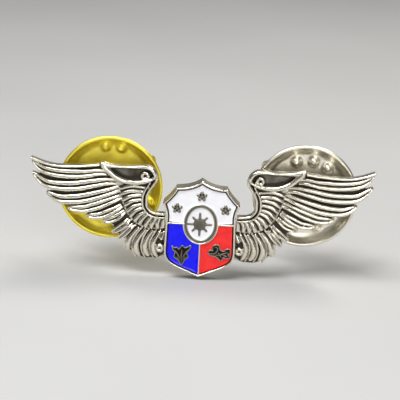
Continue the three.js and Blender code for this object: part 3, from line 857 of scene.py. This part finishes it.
def leaf():
    """A leaf of three lobes with its veins."""
    plate, bead = edged([
        (-3.1, -5.72), (-2.8, -5.98), (-2.5, -5.92), (-2.28, -6.12), (-1.95, -5.68), (-1.55, -5.92),
        (-0.97, -5.66), (-1.15, -6.15), (-1.4, -6.5), (-1.26, -7.0), (-1.62, -7.38), (-1.95, -7.92),
        (-2.3, -7.45), (-2.8, -7.0), (-2.7, -6.5), (-2.95, -6.2),
    ], SHIELD_TOP - 0.13, 0.07, 110)
    height = SHIELD_TOP - 0.16
    veins = [
        [(-1.96, -7.7), (-2.0, -7.0), (-1.93, -6.0)],
        [(-2.02, -7.3), (-2.4, -6.75), (-2.85, -6.05)],
        [(-1.94, -7.3), (-1.62, -6.7), (-1.22, -6.0)],
        [(-2.04, -7.45), (-2.35, -7.2), (-2.6, -6.98)],
        [(-1.9, -7.4), (-1.65, -7.15), (-1.45, -6.95)],
    ]
    return plate, [bead] + [vein(points, 0.09, height) for points in veins]


def scroll():
    """A curled scroll on a plate of its own."""
    plate, bead = edged([
        (0.92, -6.35), (1.2, -6.1), (1.5, -6.12), (1.42, -5.72), (1.75, -5.44), (2.18, -5.52),
        (2.32, -5.98), (2.72, -6.16), (2.95, -5.95), (3.35, -5.86), (3.46, -6.25), (3.2, -6.5),
        (3.45, -6.85), (3.0, -7.0), (2.7, -6.88), (2.45, -7.26), (2.1, -6.98), (1.75, -6.78),
        (1.3, -6.72),
    ], SHIELD_TOP - 0.13, 0.07, 130)
    height = SHIELD_TOP - 0.15
    curls = [
        [(1.15, -6.45), (1.6, -6.5), (1.95, -6.2), (2.02, -5.85), (1.78, -5.72), (1.65, -5.95)],
        [(1.7, -6.6), (2.2, -6.62), (2.65, -6.45), (3.05, -6.3), (3.22, -6.1)],
        [(2.1, -6.35), (2.4, -6.75), (2.45, -7.0)],
        [(2.6, -6.6), (2.95, -6.7), (3.2, -6.75)],
    ]
    return plate, [bead] + [vein(points, 0.09, height) for points in curls]


def oval_frame():
    """The band round the compass rose, in the charges' dark metal, which is a painted dark reflection."""
    outer, inner = ellipse(OVAL_CENTRE, OVAL_OUTER), ellipse(OVAL_CENTRE, OVAL_INNER)
    crest = SHIELD_TOP - 0.16
    lines = [strand(inner + (outer - inner) * share, crest, 0.11, closed=True) for share in (0.22, 0.78)]
    return ring_prism(outer, inner, CELL_FLOOR - 0.1, crest), lines


def shield_charges():
    leaf_plate, leaf_veins = leaf()
    scroll_plate, scroll_curls = scroll()
    oval_wall, oval_lines = oval_frame()
    strands = leaf_veins + scroll_curls + compass_rose() + oval_lines
    for x, z in ((0, 0.07), (-2.68, -1.4), (2.68, -1.4)):
        strands += rosette(x, z)
    # The charges take the dark metal, a painted dark reflection, and the mask paints shade into their
    # hollows.
    mesh = cast("charges", [leaf_plate, scroll_plate, oval_wall], strands, CHARGE_VOXEL, 1)
    paint_groove_shade(mesh, 8, 0.05, SHIELD_TOP - 0.08)
    return finish_piece("shield_charges", mesh, CHARGE_METAL, "badge", "cast_nickel")


shield_charges()

# %% [markdown]
# ## The enamel
#
# Each cell is filled by a closed body with a triangulated top. Molten glass creeps up the walls, so
# the top rises a little towards the edge of its cell, and it is never quite flat in the middle.


# %% Pour the enamel
def poured(name, outline, material, slot):
    """A body of enamel that fills an outline, from the cell's floor to just below the metal."""
    step = 0.13
    low, high = outline.min(axis=0), outline.max(axis=0)
    across, up = np.arange(low[0], high[0], step), np.arange(low[1], high[1], step)
    grid = np.array([(x, z) for x in across for z in up])
    grid = grid[inside(grid, outline)]
    grid = grid[edge_distance(grid, outline) > 0.5 * step]
    flat = np.vstack([outline, grid])
    n = len(outline)
    ring_edges = [(i, (i + 1) % n) for i in range(n)]
    spots, _, faces, *_ = delaunay_2d_cdt([Vector(p) for p in flat], ring_edges, [list(range(n))], 1, 1e-6)
    spots = np.array([tuple(p) for p in spots])
    climb = 0.07 * np.exp(-edge_distance(spots, outline) / 0.11)
    wave = np.array([noise.noise((1.3 * x, 1.3 * z, 4.0)) for x, z in spots])
    top = SHIELD_TOP - 0.17 + climb + 0.012 * wave
    body = bmesh.new()
    corners = [body.verts.new((x * MM, -h * MM, z * MM)) for (x, z), h in zip(spots, top)]
    for face in faces:
        body.faces.new([corners[i] for i in face])
    border = [edge for edge in body.edges if edge.is_boundary]
    skirt = bmesh.ops.extrude_edge_only(body, edges=border)["geom"]
    for part in skirt:
        if isinstance(part, bmesh.types.BMVert):
            part.co.y = -(CELL_FLOOR - 0.03) * MM
    bmesh.ops.holes_fill(body, edges=[edge for edge in body.edges if edge.is_boundary])
    bmesh.ops.recalc_face_normals(body, faces=body.faces)
    mesh = bpy.data.meshes.new(name)
    body.to_mesh(mesh)
    body.free()
    return finish_piece(name + "_fill", mesh, material, "badge", slot, name, sharp=50)


def enamel_outlines():
    """The four cells, each as one closed outline."""
    edge = CELL_EDGE
    right, left = edge[edge[:, 0] > 0.02], edge[edge[:, 0] < -0.02]
    peak = edge[np.abs(edge[:, 0]) <= 0.02][:1]
    over = ellipse(OVAL_CENTRE, OVAL_OUTER - 0.02, 48, 0.04, math.pi - 0.04)
    field = np.vstack([
        left[left[:, 1] > FIELD_SPLIT + 0.08], peak, right[right[:, 1] > FIELD_SPLIT + 0.08],
        [(over[0][0] + 0.2, FIELD_SPLIT + 0.08)], over, [(over[-1][0] - 0.2, FIELD_SPLIT + 0.08)],
    ])
    under = ellipse(OVAL_CENTRE, OVAL_OUTER + 0.1, 30, math.pi + 0.02, 1.5 * math.pi - 0.06)
    foot = left[left[:, 1] < FIELD_SPLIT - 0.08]
    quarter = np.vstack([foot, under, [(-0.08, under[-1][1] - 0.3), (-0.08, foot[0][1] + 0.4)]])
    return field, quarter


FIELD, QUARTER = enamel_outlines()
poured("enamel_white_field", FIELD, WHITE_ENAMEL, "white_enamel")
poured("enamel_white_oval", ellipse(OVAL_CENTRE, OVAL_INNER + 0.02), WHITE_ENAMEL, "white_enamel")
poured("enamel_blue", QUARTER, BLUE_ENAMEL, "blue_enamel")
poured("enamel_red", (QUARTER * (-1, 1))[::-1], RED_ENAMEL, "red_enamel")


# %% [markdown]
# ## Posts and clutches
#
# The posts, the eyelets and the solder are turned: a profile of (radius, y) goes round the post's
# axis. The disc is turned too, and then its floor is struck with a ring of dimples, which is what
# keeps it from turning against the cloth.


# %% Turning
WELD = 2e-6


def rounded(profile, steps=4, cut=0.22):
    """The profile with each corner cut off by a short curve."""
    p = np.array(profile, float)
    line = []
    for a, b, c in zip(np.roll(p, 1, axis=0), p, np.roll(p, -1, axis=0)):
        reach_a = min(cut, 0.4 * np.linalg.norm(a - b))
        reach_c = min(cut, 0.4 * np.linalg.norm(c - b))
        start = b + (a - b) / max(np.linalg.norm(a - b), 1e-9) * reach_a
        stop = b + (c - b) / max(np.linalg.norm(c - b), 1e-9) * reach_c
        line += [bend_line([start, b, stop], steps), stop[None]]
    return np.vstack(line)


def finer(profile, step):
    """The closed profile with no two points further apart than a step."""
    line = []
    for a, b in zip(profile, np.roll(profile, -1, axis=0)):
        count = max(1, int(math.ceil(np.linalg.norm(b - a) / step)))
        line.append(a + (b - a) * np.linspace(0, 1, count, endpoint=False)[:, None])
    return np.vstack(line)


def turned(profile, segments, shape=None):
    """A closed profile of (radius, y) turned about the post's axis, as a mesh in metres at x = 0."""
    n = len(profile)
    angle = np.repeat(np.linspace(0, 2 * math.pi, segments, endpoint=False), n)
    radius, y = np.tile(profile[:, 0], segments), np.tile(profile[:, 1], segments)
    if shape is not None:
        radius, y = shape(angle, radius, y)
    points = np.column_stack([radius * np.sin(angle), y, radius * np.cos(angle)]) * MM
    i = np.arange(segments)[:, None] * n + np.arange(n)[None]
    j = np.roll(i, -1, axis=0)
    faces = np.stack([i, j, np.roll(j, -1, axis=1), np.roll(i, -1, axis=1)], axis=-1).reshape(-1, 4)
    mesh = bpy.data.meshes.new("turned")
    mesh.from_pydata(points, [], faces.tolist())
    return tidy_normals(mesh)


def tidy_normals(mesh):
    """Welds the turned mesh where it closes and turns its faces outwards."""
    with edited(mesh) as body:
        bmesh.ops.remove_doubles(body, verts=body.verts, dist=WELD)
        bmesh.ops.recalc_face_normals(body, faces=body.faces)
    return mesh


def moved(mesh, side, scale=1.0):
    """The mesh shifted to its post."""
    mesh.transform(Matrix.Translation((POST_X[side] * MM, 0, 0)) @ Matrix.Scale(scale, 4))
    return mesh


# %% The post and its solder
def post_profile():
    tip, r = POST_END, 0.575
    return rounded([
        (0.002, 0.03), (1.2, 0.03), (1.2, 0.3), (r, 0.32), (r, tip - 1.9), (0.43, tip - 1.7),
        (0.43, tip - 1.4), (r, tip - 1.2), (r, tip - 0.9), (0.1, tip - 0.02), (0.002, tip),
    ], 3, 0.05)


def solder_flow(angle, radius, y):
    """Solder runs further out in some directions than in others."""
    wander = np.array([noise.noise((2 * math.cos(a), 2 * math.sin(a), 7.0)) for a in angle])
    share = (radius - 1.24) / 0.86
    return radius + 0.18 * share * wander - 0.05 * share, y


for side in SIDES:
    mesh = moved(turned(post_profile(), 48), side)
    finish_piece(f"{side}_post_pin", mesh, POST_METAL, "badge", "post_metal", f"{side}_post", sharp=35)
    profile = rounded([(1.24, 0.02), (2.1, 0.02), (2.02, 0.1), (1.6, 0.19), (1.24, 0.34)], 5, 0.12)
    mesh = moved(turned(profile, 72, solder_flow), side)
    finish_piece(f"{side}_solder", mesh, SOLDER, "badge", "solder", f"{side}_post_solder")

# %% [markdown]
# ## The discs
#
# A dimple is a round bump. Front and back of the sheet move together, as they do when a punch
# strikes it. The brass disc has its dimples in three pairs, and the nickel one in three threes.


# %% Discs and eyelets
def grouped(middle, offsets):
    """Angles of three groups of dimples, each set out from its own middle."""
    return [middle + k * 2 * math.pi / 3 + offset for k in range(3) for offset in offsets]


PAIRS, THREES = grouped(0.05, (-0.19, 0.19)), grouped(0.2, (-0.49, 0, 0.44))
DISC = {
    "left": {"metal": BRASS, "slot": "brass_sheet", "at": PAIRS, "radius": 4.6},
    "right": {"metal": NICKEL_SHEET, "slot": "nickel_sheet", "at": THREES, "radius": 4.0},
}
DIMPLE_WIDE, DIMPLE_RISE = 0.5, 0.6
BEAD_RADIUS = 0.21


def disc_profile():
    """Flat floor, dished wall, and an edge rolled into a bead that faces the badge."""
    bead = CLUTCH_RADIUS - BEAD_RADIUS
    front = [(1.11, 1.45), (4.6, 1.45), (5.0, 1.27), (5.34, 0.92), (5.46, 0.72)]
    turn = np.array([bead, 0.72]) + BEAD_RADIUS * np.array([heading(a) for a in np.linspace(-2.7, 1.45, 22)])
    back = [(5.62, 1.2), (5.25, 1.57), (4.75, 1.75), (1.11, 1.75)]
    inner = rounded(front, 4, 0.16)[5:-5]
    outer = rounded(back, 4, 0.16)[5:-5]
    return finer(np.vstack([[front[0]], inner, [front[-1]], turn, [back[0]], outer, [back[-1]]]), 0.11)


def struck(side):
    """Dimples, and the slight unevenness of thin sheet, as a shape for turned()."""
    spec = DISC[side]

    def shape(angle, radius, y):
        x, z = radius * np.sin(angle), radius * np.cos(angle)
        lift = np.zeros_like(y)
        for at in spec["at"]:
            across = x * math.cos(at) - z * math.sin(at)
            out = x * math.sin(at) + z * math.cos(at) - spec["radius"]
            reach = (np.abs(across) ** 2.3 + np.abs(out) ** 2.3) ** (1 / 2.3)
            dome = DIMPLE_RISE * (1 - 0.25 * (reach / DIMPLE_WIDE) ** 2)
            lift = np.maximum(lift, dome / (1 + np.exp((reach - DIMPLE_WIDE) / 0.06)))
        floor = np.clip((5.3 - radius) / 0.3, 0, 1)
        dent = np.array([noise.noise((0.5 * a, 0.5 * b, 2.0)) for a, b in zip(x, z)])
        return radius, y - lift * floor + 0.03 * dent * floor

    return shape


def eyelet_profile():
    rear = 1.78 + 0.32
    return rounded([
        (0.72, 1.15), (1.6, 1.15), (1.7, 1.4), (1.05, 1.4), (1.05, rear + 0.03), (1.4, rear + 0.03),
        (1.3, rear + 0.18), (0.72, rear + 0.18),
    ], 4, 0.08)


for side, spec in DISC.items():
    metal, slot, clutch = spec["metal"], spec["slot"], f"{side}_clutch"
    mesh = moved(turned(disc_profile(), 220, struck(side)), side)
    finish_piece(f"{side}_disc", mesh, metal, clutch, slot, f"{clutch}_disc")
    mesh = moved(turned(eyelet_profile(), 48), side)
    finish_piece(f"{side}_eyelet_ring", mesh, metal, f"{side}_eyelet", slot, f"{clutch}_eyelet", sharp=40)

# %% [markdown]
# ## Frames, tabs and jaws
#
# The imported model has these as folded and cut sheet, with every edge sharp. Here each is copied, its
# flat faces are made whole, and its edges get the small rounding that a press tool leaves.


# %% Soften the folded parts
def softened(name, node, edge_mm):
    """A copy of a CAD node with its flat faces whole again and its edges rounded."""
    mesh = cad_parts[node].data.copy()
    mesh.name = name
    with edited(mesh) as body:
        bmesh.ops.remove_doubles(body, verts=body.verts, dist=5e-6)
        flat = math.radians(2)
        bmesh.ops.dissolve_limit(body, angle_limit=flat, verts=body.verts, edges=body.edges)
        bmesh.ops.dissolve_degenerate(body, dist=2e-5, edges=body.edges)
    piece = linked(name, mesh)
    bevel = piece.modifiers.new("edges", "BEVEL")
    bevel.width = edge_mm * MM
    bevel.segments = 3
    bevel.use_clamp_overlap = False
    bevel.limit_method = "ANGLE"
    bevel.angle_limit = math.radians(35)
    mesh = evaluated_mesh(piece)
    with edited(mesh) as body:
        bmesh.ops.remove_doubles(body, verts=body.verts, dist=WELD)
    return mesh


for side, spec in DISC.items():
    sheet = (spec["metal"], spec["slot"], 0.06)
    spring = (SPRING_STEEL, "spring_steel", 0.04)
    parts = [("frame", "clutch", "folded_frame", sheet)]
    for letter in "ab":
        parts.append((f"tab_{letter}", f"tab_{letter}", f"squeeze_tab_{letter}", sheet))
        parts.append((f"jaw_{letter}", f"tab_{letter}", f"grip_{letter}", spring))
    for part, body, name, (metal, slot, edge) in parts:
        node = f"{side}_clutch_{part}"
        mesh = softened(name, node, edge)
        finish_piece(f"{side}_{name}", mesh, metal, f"{side}_{body}", slot, node, sharp=30)

# %% [markdown]
# ## The spring wires
#
# One wire lies over both jaws. It goes through the same Geometry Nodes sweep as the feathers.


# %% Bend the wires
def spring_wire(side):
    leg, bend_z, y, girth = 0.86, -0.85, 3.19, 0.16
    turn = [(leg * math.cos(a), bend_z - leg * math.sin(a)) for a in np.linspace(0, math.pi, 25)]
    down, up = [(leg, 1.7), (leg, 0.9), (leg, 0.0)], [(-leg, 0.0), (-leg, 0.9), (-leg, 1.7)]
    wire = sweep([strand(smooth_line(down + turn + up, 90), -y, girth)], sides=16)
    clutch, mesh = f"{side}_clutch", moved(wire, side, MM)
    name = f"{side}_spring_wire"
    finish_piece(name, mesh, SPRING_STEEL, clutch, "spring_steel", f"{clutch}_spring", sharp=50)


for side in SIDES:
    spring_wire(side)


# %% [markdown]
# ## Floor, light and camera
#
# Polished metal shows what stands round it, so the light matters as much as the metal. A pale sweep
# is both floor and background, one big soft light hangs above, and the room beyond is left dim, so
# that every ridge has a bright side and a dark one.

# %% Floor and background
CENTRE = Vector(((POST_X["left"] + POST_X["right"]) / 2 - 0.8, -1.5, -0.37)) * MM


def sweep_floor():
    """One curved sheet: flat floor, round bend, upright background."""
    low, bend, back, reach = (FOOT_Z - 0.3) * MM, 0.12, 0.35, 3.0
    profile = [(-reach, low), (0.0, low)]
    for a in np.linspace(0, math.pi / 2, 16):
        profile.append((back + bend * math.sin(a), low + bend * (1 - math.cos(a))))
    profile.append((back + bend, 2.0))
    verts = [(x, y, z) for x in (-reach, reach) for y, z in profile]
    n = len(profile)
    mesh = bpy.data.meshes.new("studio_sweep")
    mesh.from_pydata(verts, [], [(i, i + 1, n + i + 1, n + i) for i in range(n - 1)])
    mesh.shade_smooth()
    f = Finish("pale paper")
    tone = f.ramp(f.noise(60, 2), [(0.3, (0.42, 0.42, 0.415)), (0.7, (0.45, 0.45, 0.445))])
    mesh.materials.append(f.surface(base_color=tone, roughness=0.8))
    floor = linked("studio_sweep", mesh)


sweep_floor()


# %% Lights
def softbox(name, place, size, watts, color=(1, 1, 1)):
    lamp = bpy.data.lights.new(name, "AREA")
    lamp.shape = "RECTANGLE"
    lamp.size, lamp.size_y = size
    lamp.energy = watts
    lamp.color = color
    holder = bpy.data.objects.new(name, lamp)
    holder.location = place
    aim = CENTRE - Vector(place)
    holder.rotation_euler = aim.to_track_quat("-Z", "Y").to_euler()
    bpy.context.scene.collection.objects.link(holder)


softbox("key", (-0.10, -0.12, 0.30), (0.24, 0.16), 1.5)
softbox("rim", (0.14, 0.12, 0.26), (0.20, 0.10), 0.6, (1.0, 0.97, 0.92))
softbox("front", (0.10, -0.34, 0.12), (0.10, 0.22), 0.4)
world = bpy.data.worlds.new("dim room")
world.use_nodes = True
room = world.node_tree.nodes["Background"].inputs
room["Color"].default_value = (0.32, 0.33, 0.35, 1)
room["Strength"].default_value = 0.3
bpy.context.scene.world = world
bpy.context.scene.view_settings.view_transform = "Standard"
print("lights:", ", ".join(lamp.name for lamp in bpy.data.lights))

# %% Camera
DISTANCE = 0.160
ELEVATION = math.radians(16)
ROLL = math.radians(2.75)
camera = bpy.data.objects.new("camera", bpy.data.cameras.new("camera"))
camera.data.lens = 0.8145 * DISTANCE / MM
camera.data.sensor_width = 36
camera.data.clip_start = 0.005
camera.location = CENTRE + DISTANCE * Vector((0, -math.cos(ELEVATION), math.sin(ELEVATION)))
look = (CENTRE - camera.location).to_track_quat("-Z", "Y")
camera.rotation_euler = look.to_euler()
camera.rotation_euler.rotate_axis("Z", ROLL)
bpy.context.scene.collection.objects.link(camera)
bpy.context.scene.camera = camera
print("camera:", round(camera.data.lens), "mm lens,", DISTANCE, "m away")
